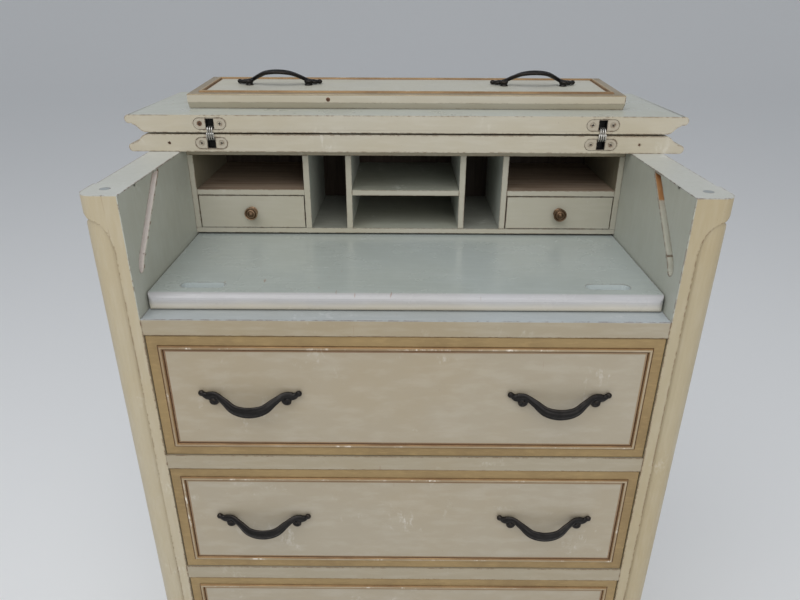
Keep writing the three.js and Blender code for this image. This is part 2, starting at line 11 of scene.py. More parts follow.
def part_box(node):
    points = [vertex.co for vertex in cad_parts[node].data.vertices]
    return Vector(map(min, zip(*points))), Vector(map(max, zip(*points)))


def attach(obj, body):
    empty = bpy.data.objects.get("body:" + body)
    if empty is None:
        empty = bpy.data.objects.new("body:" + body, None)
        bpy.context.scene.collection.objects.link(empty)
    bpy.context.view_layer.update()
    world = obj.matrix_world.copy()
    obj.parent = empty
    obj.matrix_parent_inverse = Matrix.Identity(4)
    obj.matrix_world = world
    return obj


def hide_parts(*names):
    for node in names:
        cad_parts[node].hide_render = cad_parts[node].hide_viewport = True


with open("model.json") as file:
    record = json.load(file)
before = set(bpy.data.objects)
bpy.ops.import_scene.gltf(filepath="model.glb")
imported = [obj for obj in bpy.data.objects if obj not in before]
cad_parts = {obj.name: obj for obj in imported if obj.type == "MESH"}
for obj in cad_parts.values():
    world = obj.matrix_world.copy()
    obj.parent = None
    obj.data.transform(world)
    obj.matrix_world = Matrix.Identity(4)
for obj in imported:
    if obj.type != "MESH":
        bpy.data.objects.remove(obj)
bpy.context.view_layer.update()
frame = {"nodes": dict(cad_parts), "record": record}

MM = 0.001
SIDES = (("left", -1), ("right", 1))
DRAWERS = (1, 2, 3, 4)
random.seed(7)

# Heights and planes of the case, from its own nodes
POST_LOW, POST_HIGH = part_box("corner_post_right")
CASE_TOP = POST_HIGH.z
FRONT_Y = POST_LOW.y
INNER_X = POST_LOW.x
CAVITY_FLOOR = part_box("desk_rail")[1].z

# Camera: a 29 mm lens, close in front of the chest and a little above its top
SENSOR = 36
FOCAL_SHARE = 0.8036  # focal length over the sensor's width
EYE = Vector((-0.0028, FRONT_Y - 0.6466, CASE_TOP + 0.186))
PITCH, YAW, ROLL = (math.radians(a) for a in (25.15, 0.286, 0.209))


# ---------------------------------------------------------------- shader pieces

class Nodes:
    """Builds one material's node tree, with short names for the nodes that repeat."""

    def __init__(self, name):
        self.material = bpy.data.materials.new(name)
        self.material.use_nodes = True
        self.tree = self.material.node_tree
        self.tree.nodes.clear()
        self.shader = self.tree.nodes.new("ShaderNodeBsdfPrincipled")
        output = self.tree.nodes.new("ShaderNodeOutputMaterial")
        self.link(self.shader.outputs["BSDF"], output.inputs["Surface"])
        self.where = self.tree.nodes.new("ShaderNodeTexCoord").outputs["Object"]

    def link(self, source, target):
        self.tree.links.new(source, target)

    def feed(self, value, target):
        if isinstance(value, bpy.types.NodeSocket):
            self.link(value, target)
        elif hasattr(target.default_value, "__len__") and len(value) == 3 and len(target.default_value) == 4:
            target.default_value = (*value, 1)
        else:
            target.default_value = value

    def stretched(self, scale):
        node = self.tree.nodes.new("ShaderNodeVectorMath")
        node.operation = "MULTIPLY"
        self.link(self.where, node.inputs[0])
        node.inputs[1].default_value = scale
        return node.outputs[0]

    def noise(self, scale, detail=4, rough=0.55, stretch=(1, 1, 1), warp=0.0, shift=0.0):
        node = self.tree.nodes.new("ShaderNodeTexNoise")
        node.noise_dimensions = "4D"
        self.link(self.stretched(stretch), node.inputs["Vector"])
        node.inputs["W"].default_value = shift
        node.inputs["Scale"].default_value = scale
        node.inputs["Detail"].default_value = detail
        node.inputs["Roughness"].default_value = rough
        node.inputs["Distortion"].default_value = warp
        return node.outputs["Fac"]

    def cells(self, scale):
        node = self.tree.nodes.new("ShaderNodeTexVoronoi")
        self.link(self.where, node.inputs["Vector"])
        node.inputs["Scale"].default_value = scale
        return node.outputs["Distance"]

    def ramp(self, value, low, high, out_low=0.0, out_high=1.0):
        node = self.tree.nodes.new("ShaderNodeMapRange")
        node.interpolation_type = "SMOOTHSTEP"
        self.feed(value, node.inputs["Value"])
        node.inputs["From Min"].default_value = low
        node.inputs["From Max"].default_value = high
        node.inputs["To Min"].default_value = out_low
        node.inputs["To Max"].default_value = out_high
        return node.outputs["Result"]

    def calculate(self, operation, *values):
        node = self.tree.nodes.new("ShaderNodeMath")
        node.operation = operation
        for value, target in zip(values, node.inputs):
            self.feed(value, target)
        return node.outputs[0]

    def plus(self, a, b):
        return self.calculate("ADD", a, b)

    def minus(self, a, b):
        return self.calculate("SUBTRACT", a, b)

    def times(self, first, *others):
        for other in others:
            first = self.calculate("MULTIPLY", first, other)
        return first

    def size(self, value):
        return self.calculate("ABSOLUTE", value)

    def mix(self, share, a, b):
        node = self.tree.nodes.new("ShaderNodeMix")
        node.data_type = "RGBA"
        self.feed(share, node.inputs[0])
        self.feed(a, node.inputs[6])
        self.feed(b, node.inputs[7])
        return node.outputs[2]

    def axis(self, name):
        node = self.tree.nodes.new("ShaderNodeSeparateXYZ")
        self.link(self.where, node.inputs[0])
        return node.outputs[name]

    def edges(self, radius):
        """1 along the piece's edges and 0 on its flats, from how far a rounded normal leans."""
        bevel = self.tree.nodes.new("ShaderNodeBevel")
        bevel.samples = 4
        bevel.inputs["Radius"].default_value = radius
        normal = self.tree.nodes.new("ShaderNodeNewGeometry").outputs["Normal"]
        dot = self.tree.nodes.new("ShaderNodeVectorMath")
        dot.operation = "DOT_PRODUCT"
        self.link(bevel.outputs[0], dot.inputs[0])
        self.link(normal, dot.inputs[1])
        return self.ramp(dot.outputs["Value"], 0.995, 0.86)

    def bump(self, height, strength, distance):
        node = self.tree.nodes.new("ShaderNodeBump")
        node.inputs["Strength"].default_value = strength
        node.inputs["Distance"].default_value = distance
        self.link(height, node.inputs["Height"])
        self.link(node.outputs["Normal"], self.shader.inputs["Normal"])

    def finish(self, colour, roughness, **rest):
        self.feed(colour, self.shader.inputs["Base Color"])
        self.feed(roughness, self.shader.inputs["Roughness"])
        for name, value in rest.items():
            self.shader.inputs[name.replace("_", " ")].default_value = value
        return self.material


WOOD_CHIP = (0.13, 0.062, 0.03)
GRIME = (0.16, 0.12, 0.075)
SCRATCH = (0.26, 0.13, 0.075)

# Where the paint changes, on the desk panel and the sides
RECESS_BACK = 29 * MM    # from the desk panel's front edge to the middle of a finger recess
RECESS_ASIDE = 240 * MM  # from the middle plane
RECESS_HALF = (29 * MM, 9 * MM)  # across, and front to back
NOSE_DEPTH = 10 * MM
GROOVE_DEPTH = 9.6 * MM
GROOVE_SPAN = (FRONT_Y + 14 * MM, FRONT_Y + 135 * MM)  # from front to back
BARE_DOWN = 28 * MM      # how far the bare end of the right groove reaches below the case top


def ragged_across(n):
    """Distance from the middle plane, a little uneven."""
    ragged = n.times(n.minus(n.noise(60, detail=3, shift=40), 0.5), 0.6 * MM)
    return n.plus(n.size(n.axis("X")), ragged)


def writing_side(n):
    """1 on the inner faces of the sides and posts, above the desk rail."""
    inner = n.ramp(ragged_across(n), INNER_X + 1.2 * MM, INNER_X + 0.8 * MM)
    return n.times(inner, n.ramp(n.axis("Z"), CAVITY_FLOOR - 1 * MM, CAVITY_FLOOR))


def case_top_sky_sheen(n):
    """1 on the tops of the sides and posts, where the green is painted lighter and bluer as a painted sky
    reflection.
    """
    return n.ramp(n.axis("Z"), CASE_TOP - 1.2 * MM, CASE_TOP - 0.6 * MM)


def right_half(n):
    """1 on the right side of the case, where the cream has yellowed more."""
    return n.ramp(n.axis("X"), 0, 10 * MM)


def groove_side(n):
    """1 inside the slanting grooves of the sides and posts."""
    across, along, height = ragged_across(n), n.axis("Y"), n.axis("Z")
    deep = INNER_X + GROOVE_DEPTH
    start, stop = GROOVE_SPAN
    return n.times(
        n.ramp(across, INNER_X + 0.9 * MM, INNER_X + 1.3 * MM), n.ramp(across, deep, deep - 0.4 * MM),
        n.ramp(height, CASE_TOP - 1.2 * MM, CASE_TOP - 2.4 * MM),
        n.ramp(height, CAVITY_FLOOR, CAVITY_FLOOR + 1 * MM),
        n.ramp(along, start, start + 1 * MM), n.ramp(along, stop, stop - 1 * MM))


def right_groove(n):
    """1 inside the right groove, whose paint is duller."""
    return n.times(groove_side(n), right_half(n))


def bare_groove_end(n):
    """1 in the upper end of the right groove, where the paint has gone."""
    height = n.plus(n.axis("Z"), n.times(n.noise(90, shift=44), 6 * MM))
    bare = CASE_TOP - BARE_DOWN
    return n.times(right_groove(n), n.ramp(height, bare, bare + 2 * MM))


def finger_recess_reflection(n):
    """1 inside the two finger recesses of the desk panel, where a paler, bluer green is painted on as a
    painted reflection.
    """
    low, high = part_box("desk_panel")
    half_x, half_y = RECESS_HALF
    near = n.size(n.minus(n.axis("Y"), low.y + RECESS_BACK))
    aside = n.size(n.minus(n.size(n.axis("X")), RECESS_ASIDE))
    return n.times(n.ramp(near, half_y, half_y - 0.6 * MM), n.ramp(aside, half_x, half_x - 1 * MM),
        n.ramp(n.axis("Z"), high.z - 0.7 * MM, high.z - 1.4 * MM))


def over_nose_reflection(n):
    """1 on the whole of the desk panel's rounded nose, where a lighter lavender grey is a painted sky
    reflection.
    """
    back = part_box("desk_panel")[0].y + NOSE_DEPTH
    return n.ramp(n.axis("Y"), back, back - 4 * MM)


def under_nose(n):
    """1 on the lower front of the desk panel's rounded nose."""
    low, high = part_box("desk_panel")
    height = n.plus(n.axis("Z"), n.times(n.noise(14, shift=51), 6 * MM))
    front = n.ramp(n.axis("Y"), low.y + 7 * MM, low.y + 3 * MM)
    return n.times(front, n.ramp(height, high.z - 2 * MM, high.z - 15 * MM))


def beyond(divider):
    """A mask that is 1 on the far side of a divider from the middle plane."""
    low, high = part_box(divider)
    middle = (low.x + high.x) / 2
    return lambda n: n.ramp(n.size(n.axis("X")), middle - 1 * MM, middle + 1 * MM)


def rail_top(n):
    """1 on the top face of the desk rail."""
    return n.ramp(n.axis("Z"), CAVITY_FLOOR - 1.4 * MM, CAVITY_FLOOR - 0.8 * MM)


def painted(name, palette, *, layers=(), brush=(1, 6, 6), rough=0.42, wear=1.0, scuffs=1.0, reach=2.2 * MM):
    """Old brushed paint: clouds of yellowing, brush lines, pale scuffs, and chips to brown wood on the edges.

    A palette is (colour, yellowed, scuffed). Each layer is another palette and the mask where it takes over.
    """
    n = Nodes(name)
    for other, mask in layers:
        share = mask(n)
        palette = [n.mix(share, a, b) for a, b in zip(palette, other)]
    colour, yellowed, scuffed = palette
    clouds = n.noise(3.2, detail=5, rough=0.6)
    streaks = n.noise(26, detail=3, stretch=brush, shift=2)
    grain = n.noise(240, detail=3, stretch=brush, shift=5)
    tone = n.mix(n.ramp(clouds, 0.36, 0.68, 0.0, 0.75), colour, yellowed)
    tone = n.mix(n.ramp(streaks, 0.42, 0.72, 0.0, 0.12), tone, scuffed)
    blotch = n.noise(14, detail=6, rough=0.7, warp=0.6, shift=9)
    flecks = n.noise(120, detail=5, rough=0.75, stretch=(1, 1, 0.35), shift=4)
    scarce = 0.62 - 0.05 * scuffs
    scuff = n.times(n.ramp(blotch, scarce, scarce + 0.12), n.ramp(flecks, 0.48, 0.58))
    tone = n.mix(n.times(scuff, min(1, 0.5 * scuffs)), tone, scuffed)
    specks = n.ramp(n.cells(95), 0.045, 0.02)
    rare = n.ramp(n.noise(9, shift=17), 0.5, 0.58)
    tone = n.mix(n.times(specks, rare, 0.75), tone, WOOD_CHIP)
    scratch = n.ramp(n.noise(40, detail=2, stretch=(7, 1, 0.3), shift=33), 0.7, 0.74)
    scratched = n.ramp(n.noise(5, shift=61), 0.5, 0.6)
    tone = n.mix(n.times(scratch, scratched, 0.55), tone, SCRATCH)
    edge = n.edges(reach)
    ragged = n.noise(150, detail=5, rough=0.7, shift=12)
    where_worn = n.noise(7, detail=3, shift=21)
    rubbed = n.times(edge, n.ramp(n.plus(ragged, n.times(where_worn, 0.5)), 0.7, 0.8))
    tone = n.mix(n.times(edge, n.ramp(where_worn, 0.35, 0.65), 0.35 * wear), tone, GRIME)
    tone = n.mix(n.times(rubbed, min(1.0, 0.85 * wear)), tone, WOOD_CHIP)
    height = n.plus(n.times(grain, 0.5), streaks)
    n.bump(n.minus(height, n.times(rubbed, 1.2)), 0.22, 0.35 * MM)
    shine = n.ramp(n.noise(18, detail=4, shift=30), 0.3, 0.75, rough - 0.1, rough + 0.14)
    return n.finish(tone, n.plus(shine, n.times(rubbed, 0.3)), Specular_IOR_Level=0.4)


def gilt(name, colour, dark, *, wear=1.0, rough=0.44):
    """Bronze paint, brushed on thin, rubbed to brown along the edges."""
    n = Nodes(name)
    clouds = n.noise(11, detail=6, rough=0.65)
    brushed = n.noise(60, detail=4, stretch=(1, 4, 4), shift=3)
    tone = n.mix(n.ramp(clouds, 0.35, 0.7, 0.0, 0.6), colour, dark)
    tone = n.mix(n.ramp(brushed, 0.45, 0.75, 0.0, 0.3), tone, [min(1, c * 1.5) for c in colour])
    edge = n.edges(1.6 * MM)
    ragged = n.noise(170, detail=5, rough=0.7, shift=8)
    rubbed = n.times(edge, n.ramp(ragged, 0.46, 0.6))
    tone = n.mix(n.times(rubbed, min(1.0, 0.8 * wear)), tone, WOOD_CHIP)
    n.bump(n.plus(brushed, n.times(ragged, 0.4)), 0.25, 0.25 * MM)
    shine = n.ramp(clouds, 0.3, 0.7, rough - 0.08, rough + 0.12)
    return n.finish(tone, shine, Metallic=0.35)


def bare_wood(name, pale, dark, *, along="x", rough=0.62, stain=0.0):
    """Unpainted softwood: long grain with growth lines, pores and a little staining."""
    n = Nodes(name)
    stretch = {"x": (0.8, 14, 14), "y": (14, 0.8, 14), "z": (14, 14, 0.8)}[along]
    grain = n.noise(7, detail=8, rough=0.62, stretch=stretch, warp=0.9)
    lines = n.noise(55, detail=4, rough=0.6, stretch=stretch, warp=0.3, shift=6)
    tone = n.mix(n.ramp(grain, 0.3, 0.72), dark, pale)
    tone = n.mix(n.ramp(lines, 0.5, 0.68, 0.0, 0.45), tone, dark)
    blot = n.noise(5, detail=5, rough=0.6, shift=14)
    tone = n.mix(n.ramp(blot, 0.5, 0.75, 0.0, 0.3 + stain), tone, [c * 0.35 for c in dark])
    n.bump(n.plus(lines, grain), 0.25, 0.3 * MM)
    return n.finish(tone, n.ramp(grain, 0.3, 0.7, rough + 0.1, rough - 0.08), Specular_IOR_Level=0.35)


def cast_metal(name, colour, rubbed, *, rough=0.42, metallic=0.85, tarnish=0.5):
    """Patinated casting: dark in the hollows, rubbed bright on the high places."""
    n = Nodes(name)
    mottled = n.noise(130, detail=5, rough=0.65)
    broad = n.noise(28, detail=3, shift=4)
    tone = n.mix(n.ramp(mottled, 0.35, 0.7, 0.0, tarnish), colour, [c * 0.4 for c in colour])
    high = n.tree.nodes.new("ShaderNodeNewGeometry").outputs["Pointiness"]
    worn = n.times(n.ramp(high, 0.505, 0.56), n.ramp(broad, 0.4, 0.65, 0.25, 1.0))
    tone = n.mix(worn, tone, rubbed)
    n.bump(mottled, 0.3, 0.15 * MM)
    shine = n.ramp(mottled, 0.3, 0.75, rough - 0.1, rough + 0.18)
    return n.finish(tone, shine, Metallic=metallic)


# Palettes: colour, yellowed, scuffed
CREAM = ((0.484, 0.423, 0.302), (0.465, 0.381, 0.237), (0.651, 0.614, 0.521))
CREAM_WARM = ((0.434, 0.368, 0.242), (0.417, 0.331, 0.19), (0.6, 0.55, 0.44))
CREAM_DULL = ((0.387, 0.347, 0.261), (0.378, 0.315, 0.207), (0.594, 0.558, 0.477))
CREAM_RAIL = ((0.36, 0.312, 0.227), (0.352, 0.284, 0.18), (0.594, 0.558, 0.477))
CREAM_PANEL = ((0.385, 0.336, 0.253), (0.381, 0.311, 0.207), (0.655, 0.628, 0.564))
CREAM_COOL = ((0.5, 0.46, 0.37), (0.48, 0.42, 0.3), (0.7, 0.67, 0.6))
CREAM_FLIP = ((0.465, 0.455, 0.39), (0.44, 0.415, 0.33), (0.66, 0.65, 0.61))
GREEN = ((0.475, 0.49, 0.43), (0.41, 0.41, 0.335), (0.6, 0.63, 0.59))
# green of the case tops, lighter and bluer than the inner sides: a painted sky reflection
GREEN_TOP_SKY_SHEEN = ((0.51, 0.52, 0.5), (0.445, 0.45, 0.395), (0.66, 0.67, 0.66))
GREEN_RAIL = ((0.39, 0.425, 0.44), (0.35, 0.37, 0.36), (0.58, 0.6, 0.6))
# still darker green on the floors of the narrow slots: painted shade
GREEN_SLOT_SHADE = ((0.26, 0.265, 0.235), (0.2, 0.2, 0.165), (0.4, 0.41, 0.38))
GREEN_DESK = ((0.385, 0.425, 0.41), (0.35, 0.38, 0.345), (0.56, 0.6, 0.59))
GREEN_PALE = ((0.46, 0.48, 0.44), (0.42, 0.425, 0.36), (0.64, 0.66, 0.62))
# green of the pigeonhole floors, darker than their walls: painted shade
GREEN_FLOOR_SHADE = ((0.338, 0.351, 0.297), (0.27, 0.263, 0.203), (0.54, 0.553, 0.499))
# paler, bluer green in the finger recesses: a painted reflection
RECESS_REFLECTION = ((0.52, 0.57, 0.57), (0.46, 0.5, 0.49), (0.68, 0.72, 0.72))
# lighter lavender grey on the desk's nose: a painted sky reflection
NOSE_SKY_REFLECTION = ((0.44, 0.44, 0.455), (0.41, 0.4, 0.39), (0.6, 0.61, 0.62))
NOSE = ((0.66, 0.62, 0.53), (0.58, 0.52, 0.41), (0.76, 0.73, 0.66))
# pale bare wood in the grooves, brightened to near white as painted light on the grooves' far walls
GROOVE_WOOD_LIT = ((0.82, 0.78, 0.75), (0.66, 0.58, 0.52), (0.95, 0.93, 0.9))
GROOVE_DULL = ((0.58, 0.59, 0.51), (0.46, 0.43, 0.34), (0.8, 0.78, 0.72))
BARE = ((0.52, 0.28, 0.12), (0.4, 0.2, 0.08), (0.7, 0.5, 0.3))
# bare brown wood in the side bays, darkened further as painted shade
BAY_WOOD_SHADE = ((0.26, 0.235, 0.165), (0.19, 0.155, 0.1), (0.4, 0.37, 0.28))
NEST = ((0.456, 0.435, 0.361), (0.411, 0.382, 0.289), (0.583, 0.56, 0.505))
# paler paint on the bead's crest: rubbed wear, and a painted highlight
CREST_WEAR_HIGHLIGHT = ((0.37, 0.29, 0.18), (0.24, 0.15, 0.07), (0.78, 0.72, 0.62))
GLAZE = ((0.3, 0.21, 0.12), (0.15, 0.065, 0.025), (0.45, 0.38, 0.26))
OVER_STEEL = ((0.48, 0.44, 0.36), (0.4, 0.34, 0.25), (0.64, 0.61, 0.54))
PLUG = ((0.3, 0.33, 0.34), (0.24, 0.26, 0.26), (0.46, 0.5, 0.5))
DRAWER_WOOD = ((0.46, 0.3, 0.175), (0.28, 0.16, 0.085))  # pale, dark

UPRIGHT = (6, 6, 1)  # brush lines that run up and down
INSIDE = ((GREEN, writing_side), (GREEN_TOP_SKY_SHEEN, case_top_sky_sheen))
GROOVES = ((GROOVE_WOOD_LIT, groove_side), (GROOVE_DULL, right_groove), (BARE, bare_groove_end))
ON_DESK = ((NOSE_SKY_REFLECTION, over_nose_reflection), (RECESS_REFLECTION, finger_recess_reflection), (NOSE, under_nose))
SIDE_BAYS_SHADE = ((BAY_WOOD_SHADE, beyond("drawer_divider_right")),)
SLOTS_SHADE = ((GREEN_SLOT_SHADE, beyond("slot_divider_right")),)

cream = painted("cream_paint", CREAM)
cream_dull = painted("cream_dull_paint", CREAM_DULL)
cream_rail = painted("cream_rail_paint", CREAM_RAIL, layers=((GREEN_RAIL, rail_top),))
case_paint = painted("case_paint", CREAM, layers=((CREAM_WARM, right_half), *INSIDE, *GROOVES), brush=UPRIGHT,
    wear=1.2, reach=3 * MM)
joint_paint = painted("joint_paint", CREAM, layers=INSIDE, brush=UPRIGHT, wear=0)
cream_panel = painted("cream_panel_paint", CREAM_PANEL, brush=(1, 3, 3), wear=0.4, scuffs=1.15)
leaf_edge = painted("leaf_edge_paint", CREAM_COOL, wear=1.2, reach=3 * MM)
leaf_face = painted("leaf_face_paint", GREEN_PALE, rough=0.34, wear=0.6, scuffs=0.7)
flip_face = painted("false_front_face_paint", CREAM_FLIP, wear=0.4)
# glossy green desk, with painted reflections on its nose and in its finger recesses
green_gloss = painted("desk_gloss_paint", GREEN_DESK, layers=ON_DESK, brush=(1, 8, 8), rough=0.22, wear=0.5,
    scuffs=0.5)
nest_front = painted("pigeonhole_paint", NEST, wear=0.9)
nest_inside = painted("pigeonhole_inside_paint", GREEN_PALE, layers=SIDE_BAYS_SHADE, brush=UPRIGHT, rough=0.5,
    wear=0.5)
nest_floor_shaded = painted("pigeonhole_floor_shaded_paint", GREEN_FLOOR_SHADE, layers=SLOTS_SHADE, rough=0.5, wear=0.5, scuffs=1.6)
gold_flat = gilt("gold_border_paint", (0.34, 0.235, 0.105), (0.23, 0.155, 0.07), wear=0.7)
gold_dull = gilt("gold_faded_paint", (0.33, 0.27, 0.18), (0.24, 0.18, 0.11), wear=0.7, rough=0.36)
gold_bead = gilt("gold_bead_paint", (0.27, 0.165, 0.07), (0.1, 0.042, 0.018), rough=0.42)
bead_crest_highlight = painted("bead_crest_highlight_paint", CREST_WEAR_HIGHLIGHT, brush=(1, 1, 1), wear=0.3, scuffs=2.2)
glaze = painted("brown_glaze", GLAZE, wear=0.2)
quirk = bare_wood("umber_quirk", (0.12, 0.048, 0.02), (0.05, 0.02, 0.011))
box_wood = bare_wood("drawer_box_wood", *DRAWER_WOOD)
box_side = bare_wood("drawer_side_wood", *DRAWER_WOOD, along="y")
# nearly black wood: painted shade deep at the back of the pigeonholes
back_wood_painted_shade = bare_wood("back_panel_wood_painted_shade", (0.06, 0.04, 0.025), (0.03, 0.018, 0.01), along="z", stain=0.2)
shelf_wood = bare_wood("shelf_floor_wood", (0.42, 0.33, 0.25), (0.24, 0.17, 0.12), stain=0.3, rough=0.5)
bronze = cast_metal("pull_bronze", (0.024, 0.022, 0.021), (0.11, 0.08, 0.055), rough=0.38)
brass = cast_metal("knob_brass", (0.13, 0.08, 0.045), (0.36, 0.24, 0.15), rough=0.4)
steel = cast_metal("hinge_steel", (0.34, 0.33, 0.31), (0.66, 0.64, 0.6), rough=0.3, tarnish=0.6)
# near black: painted shade inside the hinge slots and the painted shadow round each screw
slot_shade_black = cast_metal("hinge_slot_painted_shade", (0.012, 0.011, 0.01), (0.05, 0.04, 0.03), rough=0.7, metallic=0.2)
rust = cast_metal("rusted_screw", (0.07, 0.03, 0.018), (0.18, 0.09, 0.05), rough=0.6, metallic=0.5)
painted_steel = painted("painted_hinge_steel", OVER_STEEL, wear=2.2)
plug_wood = painted("plug_paint", PLUG, wear=2.0)


# ---------------------------------------------------------------- mesh pieces

def shade(mesh, angle):
    """Smooth, except across edges sharper than an angle."""
    mesh.polygons.foreach_set("use_smooth", [True] * len(mesh.polygons))
    mesh.set_sharp_from_angle(angle=math.radians(angle))


def add_mesh(name, vertices, faces, materials, picks, angle):
    """A mesh object from points in metres, faces turned outward."""
    mesh = bpy.data.meshes.new(name)
    mesh.from_pydata([tuple(v) for v in vertices], [], faces)
    mesh.polygons.foreach_set("material_index", picks)
    work = bmesh.new()
    work.from_mesh(mesh)
    bmesh.ops.recalc_face_normals(work, faces=work.faces)
    work.to_mesh(mesh)
    work.free()
    shade(mesh, angle)
    for material in materials:
        mesh.materials.append(material)
    piece = bpy.data.objects.new(name, mesh)
    bpy.context.scene.collection.objects.link(piece)
    return piece


def loops_mesh(name, loops, materials, picks=None, angle=32):
    """Skins a stack of rings of points. picks holds each band's material; the caps take the end bands'."""
    count, bands = len(loops[0]), len(loops) - 1
    picks = picks or [0] * bands
    vertices = [p for loop in loops for p in loop]
    faces, chosen = [], []
    for band in range(bands):
        low, high = band * count, (band + 1) * count
        for i in range(count):
            j = (i + 1) % count
            faces.append((low + i, low + j, high + j, high + i))
            chosen.append(picks[band])
    faces.append(tuple(range(count)))
    faces.append(tuple(range(bands * count, len(vertices))))
    return add_mesh(name, vertices, faces, materials, [*chosen, picks[0], picks[-1]], angle)


def arc(centre, radius, start, stop, steps):
    """Points round part of a circle, in degrees."""
    turns = [math.radians(start + (stop - start) * i / steps) for i in range(steps + 1)]
    return [(centre[0] + radius * math.cos(a), centre[1] + radius * math.sin(a)) for a in turns]


def lathe(name, profile, place, materials, steps=48, angle=32):
    """Turns (radius, height) points about a line along -Y from place."""
    turns = [2 * math.pi * i / steps for i in range(steps)]
    loops = [[Vector((place[0] + radius * math.cos(a), place[1] - height, place[2] + radius * math.sin(a)))
              for a in turns] for radius, height in profile]
    return loops_mesh(name, loops, materials, angle=angle)


def soften(piece, width, angle):
    """Rounds a piece's edges without changing its flat faces."""
    flatten = piece.modifiers.new("flatten", "DECIMATE")
    flatten.decimate_type = "DISSOLVE"
    flatten.angle_limit = math.radians(0.6)
    bevel = piece.modifiers.new("round", "BEVEL")
    bevel.width = width
    bevel.segments = 3
    bevel.limit_method = "ANGLE"
    bevel.angle_limit = math.radians(angle)
    bevel.use_clamp_overlap = True
    weigh = piece.modifiers.new("weigh", "WEIGHTED_NORMAL")
    weigh.keep_sharp = False
    piece.data.polygons.foreach_set("use_smooth", [True] * len(piece.data.polygons))


def baked(piece, angle=32):
    """Applies a piece's modifiers."""
    graph = bpy.context.evaluated_depsgraph_get()
    mesh = bpy.data.meshes.new_from_object(piece.evaluated_get(graph))
    piece.modifiers.clear()
    piece.data = mesh
    shade(mesh, angle)


def carve(piece, cutters, operation="DIFFERENCE"):
    """Cuts, joins or meets a piece with others, which are used up."""
    for cutter in cutters:
        step = piece.modifiers.new("carve", "BOOLEAN")
        step.operation = operation
        step.object = cutter
        step.solver = "EXACT"
    bpy.context.view_layer.update()
    baked(piece)
    for cutter in cutters:
        bpy.data.objects.remove(cutter)
    return piece


def prism(name, outline, axis, low, high, materials=()):
    """A straight bar of an outline: (y, z) points along x, (x, z) along y or (x, y) along z."""
    turn = {
        "x": lambda a, b, t: (t, a, b),
        "y": lambda a, b, t: (a, t, b),
        "z": lambda a, b, t: (a, b, t),
    }[axis]
    loops = [[turn(a, b, t) for a, b in outline] for t in (low, high)]
    return loops_mesh(name, loops, materials)


def capsule(a, b, radius, steps):
    """The outline of a bar with round ends about two centres."""
    heading = math.degrees(math.atan2(b[1] - a[1], b[0] - a[0]))
    return [*arc(b, radius, heading - 90, heading + 90, steps),
            *arc(a, radius, heading + 90, heading + 270, steps)]


def round_edges(piece, width, degrees):
    """Rounds the edges sharper than an angle."""
    bevel = piece.modifiers.new("round", "BEVEL")
    bevel.width = width
    bevel.segments = 2
    bevel.limit_method = "ANGLE"
    bevel.angle_limit = math.radians(degrees)


def stand_in(piece, node, body):
    """Shows a piece in place of a CAD node."""
    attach(piece, body)
    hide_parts(node)


def dress(node, materials, width=1.0 * MM, choose=None, angle=34):
    """Gives a CAD node its materials, by face where choose says, and rounds its edges."""
    piece = frame["nodes"][node]
    piece.data.materials.clear()
    for material in materials:
        piece.data.materials.append(material)
    for face in piece.data.polygons:
        face.material_index = choose(face) if choose else 0
    soften(piece, width, angle)


# ---------------------------------------------------------------- case and pigeonholes

def dress_case():
    for word, _ in SIDES:
        dress(f"side_panel_{word}", (case_paint,))
        dress(f"corner_post_{word}", (case_paint,), 1.2 * MM, angle=42)
        dress(f"base_side_{word}", (cream,), 1.5 * MM)
    for node in ("desk_rail", "drawer_rail_1", "drawer_rail_2", "drawer_rail_3", "case_bottom"):
        dress(node, (cream_rail,), 1.2 * MM)
    dress("base_front", (cream,), 1.5 * MM)
    dress("back_panel", (back_wood_painted_shade,), 0.4 * MM)


def bridge_joints():
    """Paint over the joint of each post and side, above the desk rail, but not where the groove crosses."""
    joint = (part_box("corner_post_left")[1].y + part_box("side_panel_left")[0].y) / 2
    half, proud, reach = 1.6 * MM, 0.04 * MM, 3 * MM
    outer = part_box("side_panel_right")[1].x
    above, below = 57 * MM, 84 * MM  # where the groove's edges cross the joint, down from the top
    for word, side in SIDES:
        inner_strips = ((CAVITY_FLOOR, CASE_TOP - below), (CASE_TOP - above, CASE_TOP - 0.5 * MM))
        slabs = [(INNER_X - proud, INNER_X + reach, low, high) for low, high in inner_strips]
        slabs.append((INNER_X - proud, outer - 0.3 * MM, CASE_TOP - reach, CASE_TOP + proud))
        for number, (near, far, low, high) in enumerate(slabs):
            outline = [(side * near, low), (side * far, low), (side * far, high), (side * near, high)]
            name = f"joint_paint_{word}_{number}"
            strip = prism(name, outline, "y", joint - half, joint + half, (joint_paint,))
            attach(strip, "case")


def box_face(face):
    """The sides of a drawer box have their grain from front to back."""
    return 1 if abs(face.normal.x) > 0.7 else 0


def board_face(face):
    """A board's front, its other faces and its upper face, in the order of its materials."""
    return 0 if face.normal.y < -0.5 else (2 if face.normal.z > 0.5 else 1)


